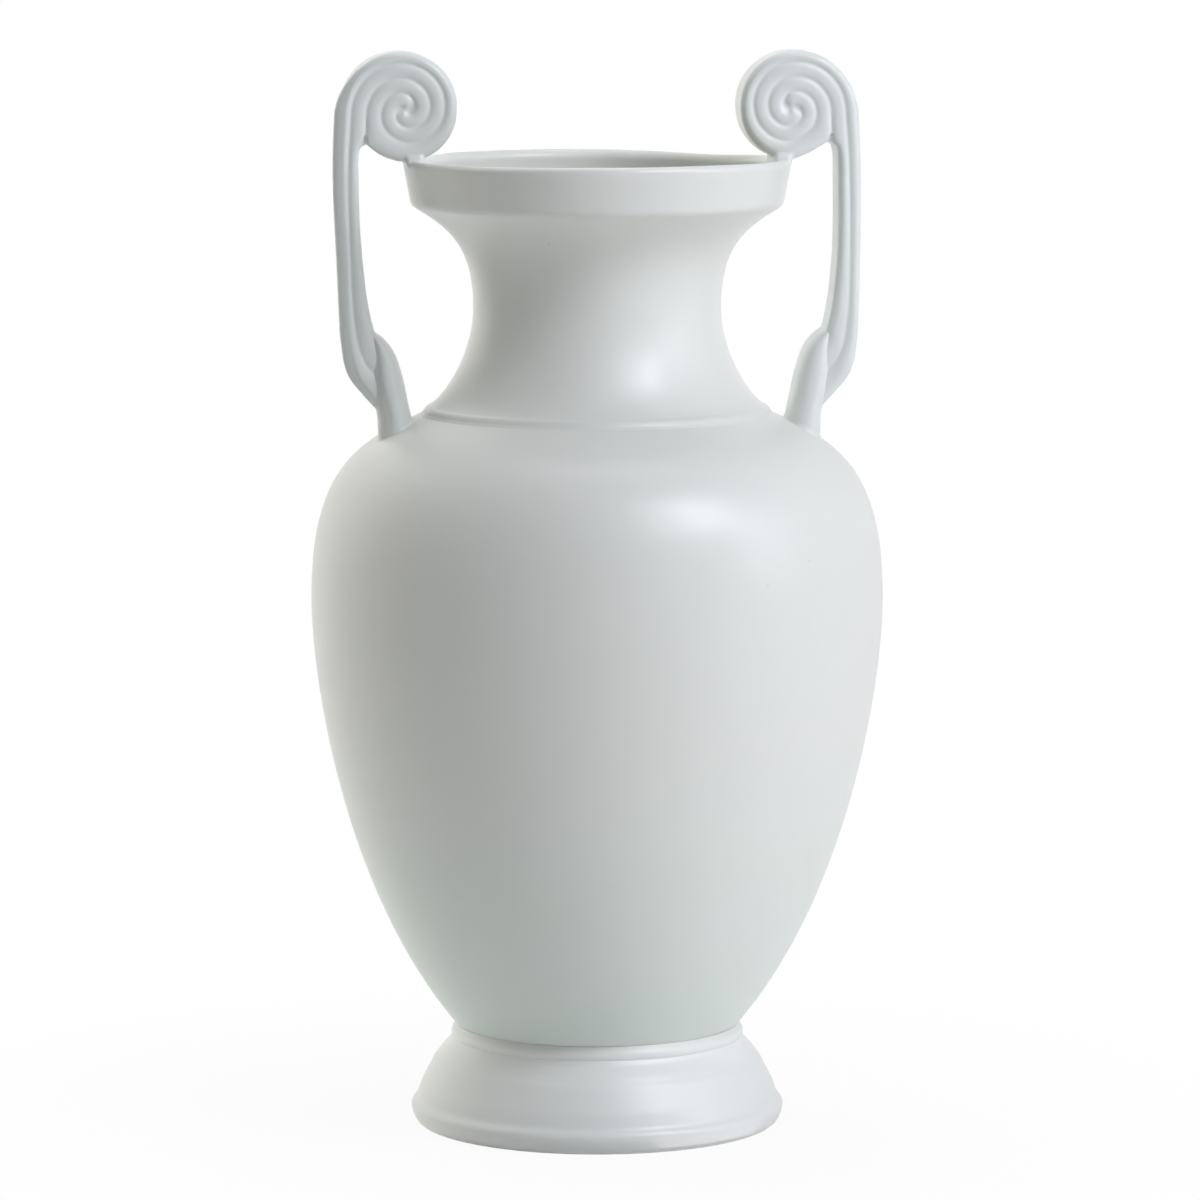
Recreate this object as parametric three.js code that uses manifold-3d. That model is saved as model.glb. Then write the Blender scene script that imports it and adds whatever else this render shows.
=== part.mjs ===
// Twin-handled vase in satin white ceramic, as its formed sections before the glaze firing.
// Foot, belly, neck and rim are turned; each handle is a scroll and a root luted to the body.
// Millimetres, +Z up, origin on the vase's axis in the plane that the foot rests on.
import * as THREE from 'three';
import { mergeVertices } from 'three/addons/utils/BufferGeometryUtils.js';
import Module from 'manifold-3d';

const wasm = await Module();
wasm.setup();

// General sizes
const wall = 4.6;
const clearance = 0.3;
const turnSteps = 36;
const curveSteps = 6;

// Foot
const footHeight = 36.8;
const footBandRadius = 70.8;
const footBandHeight = 8.1;
const footRestRadius = 68;
const footHollowRadius = 58;
const footBeadRadius = 55.4;
const footBeadHeight = 4.4;
const waistRadius = 52.7;

// Belly
const bellyHeight = 234.8;
const bellyRadius = 108.1;
const bellyWidestHeight = 164.3;
const floorThickness = 6;
const shoulderEdgeRadius = 64.5;

// Neck
const neckHeight = 76.6;
const neckWaistRadius = 46.7;
const neckWaistHeight = 39;
const neckTopRadius = 68;
const ledgeHeight = 2.4;
const ledgeDepth = 1.4;

// Rim
const rimHeight = 18.4;
const rimOverhang = 4.6;
const lipThickness = 4.2;
const lipBevelDepth = 4.6;
const lipBevelRun = 1.6;

// Spigots that centre one turned section in the next
const spigotHeight = 3.6;
const spigotThickness = 3;

// Handles
const handleDepth = 24;
const reliefHeight = 2.2;
const voluteRadius = 19.2;
const voluteOverhang = 0.2;
const voluteSeatOverlap = 0.8;
const rollGap = 0.425;
const scrollStepsPerTurn = 18;
const armSteps = 16;
const buttonSides = 12;
const crotchTurns = 0.883;
const windingPower = 0.82;
const outerRollWidth = 5;
const outerRollTurns = 1.75;
const innerRollWidth = 5.4;
const innerRollTurns = 1.3;
const armSetback = 0.9;
const armOverhang = 26;
const armWidth = 8.5;
const saddleWidth = 6.2;
const saddleInset = 1.3;
const rootStandOff = 19;
const rootDepth = 26;
const rootWidth = 14;
const rootHeight = 38.2;
const rootSides = 20;
const rootRoundness = 0.55;

// Heights of the joints, counted up from the foot's rest plane
const bellyBase = footHeight;
const shoulderHeight = bellyBase + bellyHeight;
const rimBase = shoulderHeight + neckHeight;
const rimTop = rimBase + rimHeight;

// Distances from the vase's axis that follow from the joints
const rimRadius = neckTopRadius + rimOverhang;
const voluteOffset = rimRadius + voluteOverhang;
const armReach = voluteOffset + armOverhang;
const rootReach = shoulderEdgeRadius + rootStandOff;

// The two rolls lie side by side in each turn of the scroll, with a gap on both sides
const scrollPitch = outerRollWidth + innerRollWidth + 2 * rollGap;

const glaze = new THREE.MeshStandardMaterial({ color: 0xe9ebe9, roughness: 0.42, metalness: 0 });

function point(radius, height) {
  return new THREE.Vector2(radius, height);
}

function bezier(start, first, second, end) {
  return new THREE.CubicBezierCurve(start, first, second, end).getPoints(curveSteps);
}

// A line moved sideways by a distance, to the left of its direction of travel
function offset(line, distance) {
  return line.map((here, i) => {
    const before = line[Math.max(i - 1, 0)];
    const after = line[Math.min(i + 1, line.length - 1)];
    const along = after.clone().sub(before).normalize();
    return point(here.x - along.y * distance, here.y + along.x * distance);
  });
}

// Revolves an outline of radius and height about the vase's axis
function turned(outline, sides = turnSteps) {
  return new THREE.LatheGeometry(outline, sides).rotateX(Math.PI / 2);
}

function closed(outline) {
  return [...outline, outline[0].clone()];
}

function solidOf(geometry) {
  const bare = geometry.clone();
  bare.deleteAttribute('normal');
  bare.deleteAttribute('uv');
  const merged = mergeVertices(bare, 1e-4);
  const position = merged.getAttribute('position');
  const triVerts = new Uint32Array(merged.index.array);
  const vertProperties = new Float32Array(position.array);
  const solid = new wasm.Manifold(new wasm.Mesh({ numProp: 3, vertProperties, triVerts }));
  if (solid.volume() > 0) return solid;
  for (let i = 0; i < triVerts.length; i += 3) {
    [triVerts[i], triVerts[i + 1]] = [triVerts[i + 1], triVerts[i]];
  }
  return new wasm.Manifold(new wasm.Mesh({ numProp: 3, vertProperties, triVerts }));
}

function geometryOf(solid) {
  const mesh = solid.getMesh();
  const geometry = new THREE.BufferGeometry();
  const corners = new Float32Array(mesh.numVert * 3);
  for (let i = 0; i < mesh.numVert; i += 1) {
    corners.set(mesh.vertProperties.subarray(i * mesh.numProp, i * mesh.numProp + 3), i * 3);
  }
  geometry.setAttribute('position', new THREE.BufferAttribute(corners, 3));
  geometry.setIndex(new THREE.BufferAttribute(new Uint32Array(mesh.triVerts), 1));
  geometry.computeVertexNormals();
  return geometry;
}

function named(name, geometry, material) {
  const mesh = new THREE.Mesh(geometry, material);
  mesh.name = name;
  return mesh;
}

// Outer line of the belly, from its base up over the shoulder to the neck's ledge
const bellyFlank = bezier(
  point(waistRadius, bellyBase),
  point(bellyRadius - 12.3, bellyBase + bellyWidestHeight * 0.304),
  point(bellyRadius, bellyBase + bellyWidestHeight * 0.805),
  point(bellyRadius, bellyBase + bellyWidestHeight),
);
const bellyShoulder = bezier(
  point(bellyRadius, bellyBase + bellyWidestHeight),
  point(bellyRadius, shoulderHeight - 19.5),
  point(bellyRadius - 19.2, shoulderHeight - 11.5),
  point(shoulderEdgeRadius, shoulderHeight),
);
const bellyLine = [...bellyFlank, ...bellyShoulder.slice(1)];

// Outer line of the neck above its ledge
const neckWaist = point(neckWaistRadius, shoulderHeight + neckWaistHeight);
const neckStart = point(shoulderEdgeRadius - ledgeDepth, shoulderHeight + ledgeHeight);
const neckLine = [
  ...bezier(
    neckStart,
    point(neckStart.x - 6.7, neckStart.y + 4.4),
    point(neckWaistRadius, neckWaist.y - 16),
    neckWaist,
  ),
  ...bezier(
    neckWaist,
    point(neckWaistRadius, neckWaist.y + 21),
    point(neckTopRadius - 14.6, rimBase - 8.7),
    point(neckTopRadius, rimBase),
  ).slice(1),
];

// Foot: a flared ring, hollow underneath, with a band below and a bead under the belly
function footGeometry() {
  const bore = waistRadius - wall;
  const beadBottom = footHeight - footBeadHeight;
  const flare = new THREE.CubicBezierCurve(
    point(footBandRadius - 1.5, footBandHeight + 1.4),
    point(footBandRadius - 5.3, footBandHeight + 9.4),
    point(footBeadRadius + 6.1, beadBottom - 5.3),
    point(footBeadRadius, beadBottom),
  );
  const bead = new THREE.QuadraticBezierCurve(
    point(footBeadRadius - 0.3, beadBottom + 0.6),
    point(footBeadRadius + 0.4, beadBottom + 2.6),
    point(waistRadius, footHeight),
  );
  return turned(closed([
    point(footHollowRadius, 0),
    point(footRestRadius, 0),
    point(footBandRadius - 1.4, 1.4),
    point(footBandRadius - 0.3, 3.6),
    point(footBandRadius, footBandHeight - 1.8),
    point(footBandRadius - 0.3, footBandHeight - 0.4),
    point(footBandRadius - 1, footBandHeight + 0.4),
    ...flare.getPoints(curveSteps),
    ...bead.getPoints(4),
    point(bore, footHeight),
    point(bore, footHeight - spigotHeight - 2 * clearance),
    point(footHollowRadius, footBandHeight),
  ]));
}

// Belly: a cup with its own floor and a ring under it that centres it in the foot
function bellyGeometry() {
  const spigotRadius = waistRadius - wall - clearance;
  const mouthRadius = shoulderEdgeRadius - wall;
  const inside = offset(bellyLine, wall).reverse();
  const floorTop = bellyBase + floorThickness;
  const insideWall = inside.filter((p) => p.y > floorTop + wall && p.x > mouthRadius);
  return turned([
    point(0, bellyBase),
    point(spigotRadius - spigotThickness, bellyBase),
    point(spigotRadius - spigotThickness, bellyBase - spigotHeight),
    point(spigotRadius, bellyBase - spigotHeight),
    point(spigotRadius, bellyBase),
    ...bellyLine,
    point(mouthRadius, shoulderHeight),
    point(mouthRadius, shoulderHeight - wall),
    ...insideWall,
    point(waistRadius - wall, floorTop + 1),
    point(waistRadius - 2 * wall, floorTop),
    point(0, floorTop),
  ]);
}

// Neck: a waisted tube with a thin ledge at the shoulder and a spigot at each end
function neckGeometry() {
  const spigotRadius = shoulderEdgeRadius - wall - clearance;
  const inside = offset(neckLine, wall).reverse();
  const lipRadius = neckTopRadius - wall;
  const insideWall = inside.filter((p) => p.x < lipRadius - spigotThickness);
  return turned(closed([
    point(spigotRadius - spigotThickness, shoulderHeight - spigotHeight),
    point(spigotRadius, shoulderHeight - spigotHeight),
    point(spigotRadius, shoulderHeight),
    point(shoulderEdgeRadius, shoulderHeight),
    point(shoulderEdgeRadius + 0.3, shoulderHeight + ledgeHeight / 2),
    point(shoulderEdgeRadius - 0.3, shoulderHeight + ledgeHeight - 0.2),
    ...neckLine,
    point(lipRadius, rimBase),
    point(lipRadius, rimBase + spigotHeight),
    point(lipRadius - spigotThickness, rimBase + spigotHeight),
    ...insideWall.filter((p) => p.y > shoulderHeight),
  ]));
}

// Outer line of the rim, from the neck up to its crest, grown outwards by a distance
function rimOuter(grow) {
  const line = [
    point(neckTopRadius, rimBase),
    point(neckTopRadius + 1.6, rimBase + 1.4),
    point(rimRadius - 2, rimBase + 4.5),
    point(rimRadius - 1.1, rimBase + 10.1),
    point(rimRadius, rimTop - 2.8),
    point(rimRadius - 0.3, rimTop - 1.1),
    point(rimRadius - 1.1, rimTop - 0.2),
    point(rimRadius - lipThickness / 2, rimTop),
    point(rimRadius - lipThickness + 0.6, rimTop - 0.5),
  ];
  return grow > 0 ? offset(line, -grow) : line;
}

const bevelFoot = point(
  rimRadius - lipThickness - lipBevelRun,
  rimTop - lipBevelDepth,
);

// Rim: the band that carries the lip, rebated over the neck's upper spigot
function rimGeometry() {
  const bore = neckTopRadius - wall + clearance;
  const step = rimBase + spigotHeight + clearance;
  return turned(closed([
    ...rimOuter(0),
    bevelFoot,
    point(bore - spigotThickness, step),
    point(bore, step),
    point(bore, rimBase),
  ]));
}

// The room that the rim and its lip need, with the clearance round them
function rimRoom() {
  const outer = rimOuter(clearance);
  const bore = bevelFoot.x - clearance;
  return solidOf(turned(closed([
    ...outer,
    point(bore, bevelFoot.y + clearance),
    point(bore, outer[0].y),
  ])));
}

// The room that the belly needs, with the clearance over its shoulder
function shoulderRoom() {
  const skin = offset(bellyLine, -clearance);
  return solidOf(turned([
    point(0, bellyBase),
    ...skin,
    point(0, skin[skin.length - 1].y),
  ]));
}

// Height of the shoulder's skin at a radius
function shoulderAt(radius) {
  const above = bellyShoulder.findIndex((p) => p.x <= radius);
  const lower = bellyShoulder[above - 1];
  const upper = bellyShoulder[above];
  const share = (lower.x - radius) / (lower.x - upper.x);
  return lower.y + (upper.y - lower.y) * share;
}

const rootBase = shoulderAt(rootReach);
const volute = point(voluteOffset, rimTop - voluteSeatOverlap + voluteRadius);

// A side view outline in X and Z, given depth along Y about the middle plane
function sideways(outline, depth) {
  const geometry = new THREE.ExtrudeGeometry(new THREE.Shape(outline), { depth, bevelEnabled: false });
  return solidOf(geometry.translate(0, 0, -depth / 2).rotateX(Math.PI / 2));
}

// A point on the scroll: turns count from the outer side, over the top, towards the axis
function scrollPoint(radius, turns) {
  const angle = turns * 2 * Math.PI;
  return point(volute.x + radius * Math.cos(angle), volute.y + radius * Math.sin(angle));
}

// Outer edge of the arm, from the volute down and in to the root
const armOuter = [
  point(armReach, volute.y - 16),
  point(armReach, volute.y - 34),
  point(armReach - 0.9, rootBase + 51.1),
  point(armReach - 1.6, rootBase + 39.9),
  point(armReach - 2.8, rootBase + 28.6),
  point(armReach - 4.9, rootBase + 22.8),
  point(rootReach + 5, rootBase + 17.2),
  point(rootReach + 0.3, rootBase + 11.5),
  point(rootReach - 5.6, rootBase + 6.5),
];

// Inner edge of the arm, from the root up to the crotch under the volute
const armInner = [
  point(rootReach - 5, rootBase + 29),
  point(rootReach + 1.7, rootBase + 39.9),
  point(armReach - armWidth - 2, rootBase + 51.1),
  point(armReach - armWidth - 0.3, volute.y - 50),
  point(armReach - armWidth, volute.y - 27),
  point(armReach - armWidth - 0.3, volute.y - 16),
  point(armReach - armWidth - 2.6, volute.y - 12.9),
];

// Radius of the scroll's outline: the arm winds in over the top and meets the round volute
function outlineRadius(turns) {
  const start = armReach - armSetback - volute.x;
  const woundIn = Math.min(turns / 0.5, 1);
  return start + (voluteRadius - start) * woundIn ** windingPower;
}

function scrollOutline() {
  const steps = Math.round(crotchTurns * scrollStepsPerTurn);
  const round = [];
  for (let i = 1; i < steps; i += 1) {
    const turns = i * crotchTurns / steps;
    round.push(scrollPoint(outlineRadius(turns), turns));
  }
  const top = scrollPoint(outlineRadius(0), 0);
  const outer = new THREE.SplineCurve([top, ...armOuter].reverse());
  const inner = new THREE.SplineCurve([...armInner].reverse());
  return [...outer.getPoints(armSteps), ...round, ...inner.getPoints(armSteps - 2)];
}

// A roll's path: up the arm and then round the scroll to its inner end
class RollPath extends THREE.CatmullRomCurve3 {
  getUtoTmapping(u) {
    return u;
  }
}

// One face of a roll: distance from the handle's middle plane, and distance across the roll
function rollFace(width) {
  const shoulder = handleDepth / 2 - reliefHeight;
  const face = [];
  for (let i = 0; i <= 4; i += 1) {
    const angle = i * Math.PI / 4;
    face.push(point(shoulder + reliefHeight * Math.sin(angle), width / 2 * Math.cos(angle)));
  }
  return face;
}

function rollSection(width) {
  const face = rollFace(width);
  return new THREE.Shape([...face, ...face.map((p) => point(-p.x, -p.y))]);
}

// A round button that closes a roll's inner end on both faces
function button(centre, width) {
  const half = rollFace(width).slice(0, 3);
  const front = half.map((p) => point(p.y, p.x));
  const back = half.map((p) => point(p.y, -p.x)).reverse();
  const geometry = new THREE.LatheGeometry([...back, ...front], buttonSides);
  return solidOf(geometry.translate(centre.x, 0, centre.y));
}

// A roll of clay up the arm and round the scroll, closed by its button
function roll(armPoints, radiusAt, turns, width) {
  const route = [...armPoints];
  const steps = Math.round(turns * scrollStepsPerTurn);
  for (let i = 0; i <= steps; i += 1) {
    const here = i * turns / steps;
    route.push(scrollPoint(radiusAt(here), here));
  }
  const path = new RollPath(route.map((p) => new THREE.Vector3(p.x, 0, p.y)), false, 'centripetal');
  const body = solidOf(new THREE.ExtrudeGeometry(rollSection(width), {
    steps: route.length - 1,
    bevelEnabled: false,
    extrudePath: path,
  }));
  return body.add(button(route[route.length - 1], width));
}

// Root: the thumb-shaped lug that carries the arm on the shoulder, as level sections
const rootSections = [
  { up: -4, inner: rootWidth + 1, outer: 0, depth: 1 },
  { up: rootHeight - 31, inner: rootWidth, outer: 0, depth: 1 },
  { up: rootHeight - 21.8, inner: rootWidth - 1.7, outer: 0, depth: 1 },
  { up: rootHeight - 14.2, inner: rootWidth - 3.6, outer: 0, depth: 0.99 },
  { up: rootHeight - 8.1, inner: rootWidth - 5.8, outer: 0, depth: 0.96 },
  { up: rootHeight - 5.4, inner: rootWidth - 7.5, outer: 0, depth: 0.93 },
  { up: rootHeight - 2.8, inner: rootWidth - 9.4, outer: 0.2, depth: 0.86 },
  { up: rootHeight - 0.9, inner: rootWidth - 11, outer: 0.7, depth: 0.74 },
  { up: rootHeight, inner: rootWidth - 12, outer: 1.2, depth: 0.6 },
];

// Bends a unit circle's cosine or sine towards a rounded rectangle
function squared(value) {
  return Math.sign(value) * Math.abs(value) ** rootRoundness;
}

function rootSolid(grow) {
  const top = rootSections.length - 1;
  const blank = [point(0, 0), ...rootSections.map((_, i) => point(1, i)), point(0, top)];
  const geometry = turned(blank, rootSides);
  const position = geometry.getAttribute('position');
  for (let i = 0; i < position.count; i += 1) {
    const level = Math.round(position.getZ(i));
    const section = rootSections[level];
    const middle = rootReach - (section.inner + section.outer) / 2;
    const halfWidth = (section.inner - section.outer) / 2 + grow;
    const halfDepth = rootDepth * section.depth / 2 + grow;
    const rise = level === top ? grow : 0;
    position.setXYZ(
      i,
      middle + halfWidth * squared(position.getX(i)),
      halfDepth * squared(position.getY(i)),
      rootBase + section.up + rise,
    );
  }
  return solidOf(geometry);
}

// Scroll: arm and volute as one plate with two rolls on each face, seated on the lip
function scrollGeometry() {
  const plateDepth = handleDepth - 2 * reliefHeight;
  const plate = sideways(scrollOutline(), plateDepth);
  const innerStart = armReach - armSetback - outerRollWidth - innerRollWidth / 2 - volute.x;
  const outerStart = innerStart + scrollPitch / 2;
  const outerRadius = (turns) => Math.min(
    outerStart - scrollPitch * turns,
    outlineRadius(turns) - outerRollWidth / 2,
  );
  const innerRadius = (turns) => innerStart - scrollPitch * turns;
  const outerRoll = roll([
    point(rootReach - 2, rootBase + 13.5),
    point(rootReach + 2.5, rootBase + 17.6),
    point(rootReach + 7.2, rootBase + 23),
    point(armReach - 5.9, rootBase + 30),
    point(armReach - 4.1, rootBase + 39.9),
    point(armReach - 3, rootBase + 59),
    point(armReach - 2.5, volute.y - 34),
    point(armReach - 2.6, volute.y - 16),
  ], outerRadius, outerRollTurns, outerRollWidth);
  const innerRoll = roll([
    point(rootReach - 1, rootBase + 25),
    point(rootReach + 3, rootBase + 32.3),
    point(rootReach + 5.4, rootBase + 39.9),
    point(armReach - 7.7, rootBase + 51.1),
    point(armReach - 6.5, volute.y - 53),
    point(armReach - 6.1, volute.y - 34),
    point(armReach - 6.2, volute.y - 16),
  ], innerRadius, innerRollTurns, innerRollWidth);
  const saddleOuter = volute.x - saddleInset;
  const saddle = sideways([
    point(saddleOuter, bevelFoot.y),
    point(saddleOuter, volute.y - voluteRadius / 2),
    point(saddleOuter - saddleWidth, volute.y - voluteRadius / 2),
    point(saddleOuter - saddleWidth, bevelFoot.y),
  ], plateDepth);
  const whole = plate.add(outerRoll).add(innerRoll).add(saddle);
  return geometryOf(whole.subtract(rimRoom()).subtract(rootSolid(clearance)));
}

function rootGeometry() {
  return geometryOf(rootSolid(0).subtract(shoulderRoom()));
}

// One handle stands on +X; the other is the same pieces turned half round the axis
const scroll = scrollGeometry();
const root = rootGeometry();

function handle(side, turn) {
  const group = new THREE.Group();
  group.add(named(`${side}_handle_scroll`, scroll, glaze));
  group.add(named(`${side}_handle_root`, root, glaze));
  group.rotation.z = turn;
  return group;
}

const vase = new THREE.Group();
vase.add(named('foot', footGeometry(), glaze));
vase.add(named('belly', bellyGeometry(), glaze));
vase.add(named('neck', neckGeometry(), glaze));
vase.add(named('rim', rimGeometry(), glaze));
vase.add(handle('right', 0));
vase.add(handle('left', Math.PI));

export default vase;
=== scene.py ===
# Looks of a twin-handled vase in white satin ceramic: fine glazed surfaces, studio floor, light and camera.
# Profiles are in millimetres, as radius and height or as X and Z. Meshes are in metres.
import math

import bpy
import numpy as np
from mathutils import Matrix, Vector


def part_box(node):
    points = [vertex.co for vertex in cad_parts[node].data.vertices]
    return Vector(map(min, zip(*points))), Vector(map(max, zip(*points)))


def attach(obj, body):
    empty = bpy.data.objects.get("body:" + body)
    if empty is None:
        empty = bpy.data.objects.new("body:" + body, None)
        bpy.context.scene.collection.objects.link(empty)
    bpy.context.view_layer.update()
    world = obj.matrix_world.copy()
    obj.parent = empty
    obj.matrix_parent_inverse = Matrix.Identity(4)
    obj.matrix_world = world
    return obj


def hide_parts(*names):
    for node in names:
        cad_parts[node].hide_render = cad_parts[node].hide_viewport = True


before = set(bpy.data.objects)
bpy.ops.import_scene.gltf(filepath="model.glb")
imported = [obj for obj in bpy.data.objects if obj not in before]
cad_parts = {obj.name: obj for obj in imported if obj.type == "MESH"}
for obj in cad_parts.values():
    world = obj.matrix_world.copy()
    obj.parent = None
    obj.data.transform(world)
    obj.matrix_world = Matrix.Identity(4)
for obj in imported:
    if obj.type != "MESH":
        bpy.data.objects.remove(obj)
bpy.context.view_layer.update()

MM = 0.001
FULL_TURN = 2 * math.pi


def radius_of(node):
    """Radius of a turned CAD node, in millimetres to the nearest tenth."""
    return round(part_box(node)[1].x / MM, 1)


def ends_of(node):
    """Heights of the lower and upper end of a CAD node, in millimetres to the nearest tenth."""
    return [round(corner.z / MM, 1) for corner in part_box(node)]


# Body: its main sizes come from the frame
WALL = 4.6
FLOOR_THICKNESS = 6
LEDGE_HEIGHT = 2.4
LEDGE_DEPTH = 1.4
WAIST_RADIUS = 52.7
BELLY_RADIUS = radius_of("belly")
BELLY_MOUTH_RADIUS = 59.9
SHOULDER_RADIUS = 64.5
LEDGE_TOE_RADIUS = 66.8
NECK_WAIST_RADIUS = 46.7
RIM_BASE_RADIUS = radius_of("neck")
RIM_RADIUS = radius_of("rim")
FOOT_TOP = ends_of("foot")[1]
BELLY_FLOOR = FOOT_TOP + FLOOR_THICKNESS
FLOOR_CURVE_TOP = 47.5
BELLY_WIDEST = FOOT_TOP + 164.3
SHOULDER_TOP = ends_of("belly")[1]
NECK_START = (SHOULDER_RADIUS - LEDGE_DEPTH, SHOULDER_TOP + LEDGE_HEIGHT)
NECK_WAIST = SHOULDER_TOP + 39
NECK_INSIDE_ENDS = (270, 345.5)
RIM_BASE, RIM_TOP = ends_of("rim")

# The lip's unevenness. A wave has its count round the lip, its phase and its lift. A swell or a dip has
# its middle in degrees from +X, its spread in degrees and its lift.
LIP_WAVES = [(3, 0.6, 0.07), (7, 2, 0.05)]
LIP_SWELLS = [(46, 22, -1.35), (-68, 42, 0.55), (152, 12, -0.6)]
LIP_OVAL = 0.1
OVAL_PHASE = 1

# Scrolls of the handles
VOLUTE_X = RIM_RADIUS + 0.2
VOLUTE_Z = RIM_TOP + 18.9
VOLUTE_RADIUS = 19.2
ARM_ENTRY_RADIUS = 25.15
ENTRY_EASE = 0.72
SCROLL_PITCH = 11.25
CROTCH_TURNS = 0.883
OUTLINE_TURNS = 0.75
OUTER_TURNS = 1.94
INNER_TURNS = 1.38
GROOVE_START = 20.25
HEAD_WIDTH = 5.4
HEART_RADIUS = 5.2
HEART_FADE = 2

# Depths of the handles, from their middle plane to the crest of a roll and down from there
CREST = 11.3
CREST_RUN = (0, 8, 16)
CREST_DROP = (1.9, 0.8, 0)
GROOVE_RELIEF = 1.25
EDGE_RELIEF = 2.2
BACK_EASE = 4.6
HEART_RELIEF = 1.3
WEB_RELIEF = 2.4
WEB_INSET = 0.5
ROLL_OVERLAP = 0.12
ROLL_END = 2.6
ROLL_TIP = 0.02
FREE_EDGE_TURNS = (0.7, 0.9)
FREE_EDGE_HEIGHTS = (366, 376)

# Seat of slip between the volute and the lip: height, inner X, outer X and half depth of each level
SEAT = [
    (361, 66.8, 70.8, 11.8), (363, 65.9, 71.8, 12.8), (364.8, 65.6, 72.6, 13.2), (366.2, 65.6, 73.0, 12.7),
    (367.4, 65.6, 73.3, 12.0), (369, 65.4, 73.7, 11.2), (371.5, 65.0, 74.2, 10.2)]
SEAT_POWER = 0.32

# Roots: heights of the levels, then the inner edge, outer edge and half depth at each
ROOT_HEIGHTS = [255, 262, 269.5, 273.8, 279.4, 285.1, 290.8, 294, 297, 299.3, 300.8, 301.8, 302.4]
ROOT_INNER = [69.5, 70.2, 71.0, 72.0, 73.1, 74.3, 75.9, 77.2, 79.0, 81.0, 82.7, 84.3, 85.8]
ROOT_OUTER = [83.2, 83.2, 83.4, 84.0, 85.3, 86.3, 86.6, 86.8, 87.1, 87.5, 88, 88, 88]
ROOT_DEPTH = [14.9, 14.5, 14.1, 13.9, 13.5, 13.1, 12.6, 12.1, 11.6, 10.9, 10.1, 9.2, 7.8]
ROOT_BASE = 257
ROOT_BODY = 279
ROOT_CROWN = 300
ROOT_TOP = ROOT_HEIGHTS[-1]
BASE_STEP = 0.45
BODY_STEP = 0.9
CROWN_LEVELS = 9
ROOT_POWER = 0.52
ROOT_SINK = 1.2
FILLET = 0.6

# A root's front and back fall away from a low ridge: its place across the root, then the falls as shares
ROOT_RIDGE = 0.2
INNER_FALL = 0.27
OUTER_FALL = 0.16

# Each handle leans a little off the drawing, as formed by hand: outwards is positive
LEAN_HEIGHTS = [270, 290, 300, 313, 330, 345, 353, 365, 385]
LEAN = {
    "right": [1.0, 1.0, 0.8, 0.5, 0.3, 0.1, 0, -0.2, -0.4],
    "left": [-0.7, -0.7, -0.75, -0.85, -0.7, -0.3, -0.1, 0, 0],
}

# How much flatter than round each volute is between its lowest point and the crotch
HEEL = {"right": 1.7, "left": 0.3}
HEEL_START_TURNS = 0.74
HEEL_TURNS = 0.18
HEEL_FADE = 9
HEEL_LIMIT = 22

# How far each handle's outer cheek slopes in towards the back, behind a crisp front edge
CHEEK = {"right": 0, "left": 0.9}
CHEEK_WIDTH = 4.5
CHEEK_EDGE_WIDTH = 2.2
CHEEK_EDGE_LIFT = 2.2
CHEEK_FRONT_Y = -7
CHEEK_BACK_Y = 2
CHEEK_TOP = 403
CHEEK_FADE = 15

# Fineness of the meshes
TURN_STEPS = 240
CREASE_ANGLE = 33
SPLINE_STEPS = 24
SCROLL_STEPS = 110
ARM_STEPS = 90
CROTCH_STEPS = 14
ROLL_SIDES = 14
SEAT_SIDES = 48
ROOT_SIDES = 96
VOXEL = 0.4
SMOOTHING = 0.5
SKIN_ROUNDS = 8
HEART_ROUNDS = 16
ROOT_ROUNDS = 3


def cubic(p0, p1, p2, p3, steps):
    """A cubic curve from p0 to p3, drawn towards p1 and p2."""
    t = np.linspace(0, 1, steps + 1)[:, None]
    p0, p1, p2, p3 = (np.array(p, float) for p in (p0, p1, p2, p3))
    return (1 - t) ** 3 * p0 + 3 * t * (1 - t) ** 2 * p1 + 3 * t**2 * (1 - t) * p2 + t**3 * p3


def run_along(line):
    """The length of the line up to each of its points."""
    return np.concatenate([[0], np.cumsum(np.linalg.norm(np.diff(line, axis=0), axis=1))])


def spline(points, steps):
    """A smooth curve through the points, in even steps of length."""
    points = np.array(points, float)
    ends = [2 * points[0] - points[1], *points, 2 * points[-1] - points[-2]]
    line = []
    for a, b, c, d in zip(ends, ends[1:], ends[2:], ends[3:]):
        for t in np.linspace(0, 1, SPLINE_STEPS, endpoint=False):
            line.append(0.5 * (2 * b + (c - a) * t + (2 * a - 5 * b + 4 * c - d) * t**2
                               + (3 * b - a - 3 * c + d) * t**3))
    line.append(points[-1])
    line = np.array(line)
    run = run_along(line)
    at = np.linspace(0, run[-1], steps + 1)
    return np.column_stack([np.interp(at, run, line[:, i]) for i in range(2)])


def offset(line, distance):
    """A line moved to the left of its direction of travel."""
    along = np.gradient(line, axis=0)
    along /= np.linalg.norm(along, axis=1)[:, None]
    return line + distance * np.column_stack([-along[:, 1], along[:, 0]])


def piece(name, vertices, faces, crease=None):
    """A smooth shaded object from vertices in millimetres, with edges over the crease angle kept sharp."""
    mesh = bpy.data.meshes.new(name)
    mesh.from_pydata([tuple(v) for v in np.asarray(vertices) * MM], [], faces)
    mesh.validate()
    mesh.update()
    made = bpy.data.objects.new(name, mesh)
    bpy.context.scene.collection.objects.link(made)
    mesh.shade_smooth()
    if crease:
        mesh.set_sharp_from_angle(angle=math.radians(crease))
    return made


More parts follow.
